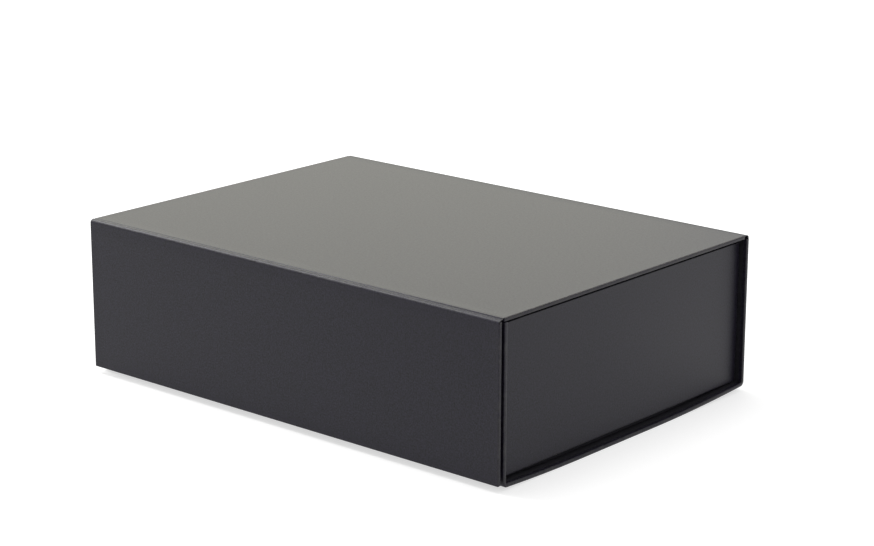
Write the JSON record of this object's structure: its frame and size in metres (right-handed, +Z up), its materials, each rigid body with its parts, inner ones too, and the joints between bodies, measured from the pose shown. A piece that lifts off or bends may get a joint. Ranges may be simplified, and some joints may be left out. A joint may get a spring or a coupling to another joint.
{
  "type": "gift box",
  "caption": "Folding gift box with a magnetic front flap, paper hinges and fold-in end walls, in black paper over greyboard.",
  "frame": {"origin": "centre of the footprint, on the surface the box stands on", "axes": "+Z up, the front flap faces -Y, the length runs along X"},
  "size_m": [0.33, 0.24, 0.1],
  "materials": {
    "wrap_paper": "matte",
    "liner_paper": "matte",
    "greyboard": "matte",
    "magnet": "satin",
    "adhesive_tape": "satin"
  },
  "bodies": {
    "tray": {"base_board": "greyboard", "base_wrap": "wrap_paper", "base_liner": "liner_paper", "front_wall_board": "greyboard", "front_wall_wrap": "wrap_paper", "front_wall_liner": "liner_paper", "spine_board": "greyboard", "spine_wrap": "wrap_paper", "spine_liner": "liner_paper", "front_wall_magnet_left": "magnet", "front_wall_magnet_right": "magnet", "lid_hinge_paper": "wrap_paper", "left_end_hinge_paper": "liner_paper", "right_end_hinge_paper": "liner_paper"},
    "lid": {"lid_board": "greyboard", "lid_wrap": "wrap_paper", "lid_liner": "liner_paper", "flap_hinge_paper": "wrap_paper"},
    "flap": {"flap_board": "greyboard", "flap_wrap": "wrap_paper", "flap_liner": "liner_paper", "flap_magnet_left": "magnet", "flap_magnet_right": "magnet"},
    "left_end": {"left_end_board": "greyboard", "left_end_wrap": "wrap_paper", "left_end_liner": "liner_paper", "left_front_ear_hinge_paper": "wrap_paper", "left_back_ear_hinge_paper": "wrap_paper"},
    "left_front_ear": {"left_front_ear_card": "greyboard", "left_front_ear_wrap": "wrap_paper", "left_front_ear_tape": "adhesive_tape"},
    "left_back_ear": {"left_back_ear_card": "greyboard", "left_back_ear_wrap": "wrap_paper", "left_back_ear_tape": "adhesive_tape"},
    "right_end": {"right_end_board": "greyboard", "right_end_wrap": "wrap_paper", "right_end_liner": "liner_paper", "right_front_ear_hinge_paper": "wrap_paper", "right_back_ear_hinge_paper": "wrap_paper"},
    "right_front_ear": {"right_front_ear_card": "greyboard", "right_front_ear_wrap": "wrap_paper", "right_front_ear_tape": "adhesive_tape"},
    "right_back_ear": {"right_back_ear_card": "greyboard", "right_back_ear_wrap": "wrap_paper", "right_back_ear_tape": "adhesive_tape"}
  },
  "joints": [
    {"name": "lid_hinge", "type": "hinge", "parent": "tray", "child": "lid", "pos_m": [0, 0.1194, 0.0994], "axis": [-1, 0, 0], "range_deg": [0, 195], "deforming": ["lid_hinge_paper"]},
    {"name": "flap_hinge", "type": "hinge", "parent": "lid", "child": "flap", "pos_m": [0, -0.1194, 0.0994], "axis": [-1, 0, 0], "range_deg": [0, 90], "deforming": ["flap_hinge_paper"]},
    {"name": "left_end_fold", "type": "hinge", "parent": "tray", "child": "left_end", "pos_m": [-0.1577, 0.00245, 0.00572], "axis": [0, 1, 0], "range_deg": [0, 80], "deforming": ["left_end_hinge_paper"]},
    {"name": "left_front_ear_fold", "type": "hinge", "parent": "left_end", "child": "left_front_ear", "pos_m": [-0.15735, -0.1109, 0.0558], "axis": [0, 0, 1], "range_deg": [0, 90], "deforming": ["left_front_ear_hinge_paper"]},
    {"name": "left_back_ear_fold", "type": "hinge", "parent": "left_end", "child": "left_back_ear", "pos_m": [-0.15735, 0.1158, 0.0558], "axis": [0, 0, -1], "range_deg": [0, 90], "deforming": ["left_back_ear_hinge_paper"]},
    {"name": "right_end_fold", "type": "hinge", "parent": "tray", "child": "right_end", "pos_m": [0.1577, 0.00245, 0.00572], "axis": [0, -1, 0], "range_deg": [0, 80], "deforming": ["right_end_hinge_paper"]},
    {"name": "right_front_ear_fold", "type": "hinge", "parent": "right_end", "child": "right_front_ear", "pos_m": [0.15735, -0.1109, 0.0558], "axis": [0, 0, -1], "range_deg": [0, 90], "deforming": ["right_front_ear_hinge_paper"]},
    {"name": "right_back_ear_fold", "type": "hinge", "parent": "right_end", "child": "right_back_ear", "pos_m": [0.15735, 0.1158, 0.0558], "axis": [0, 0, 1], "range_deg": [0, 90], "deforming": ["right_back_ear_hinge_paper"]}
  ],
  "couplings": [
    {"joint": "left_front_ear_fold", "follows": "left_end_fold", "ratio": 1.125},
    {"joint": "left_back_ear_fold", "follows": "left_end_fold", "ratio": 1.125},
    {"joint": "right_front_ear_fold", "follows": "right_end_fold", "ratio": 1.125},
    {"joint": "right_back_ear_fold", "follows": "right_end_fold", "ratio": 1.125}
  ]
}
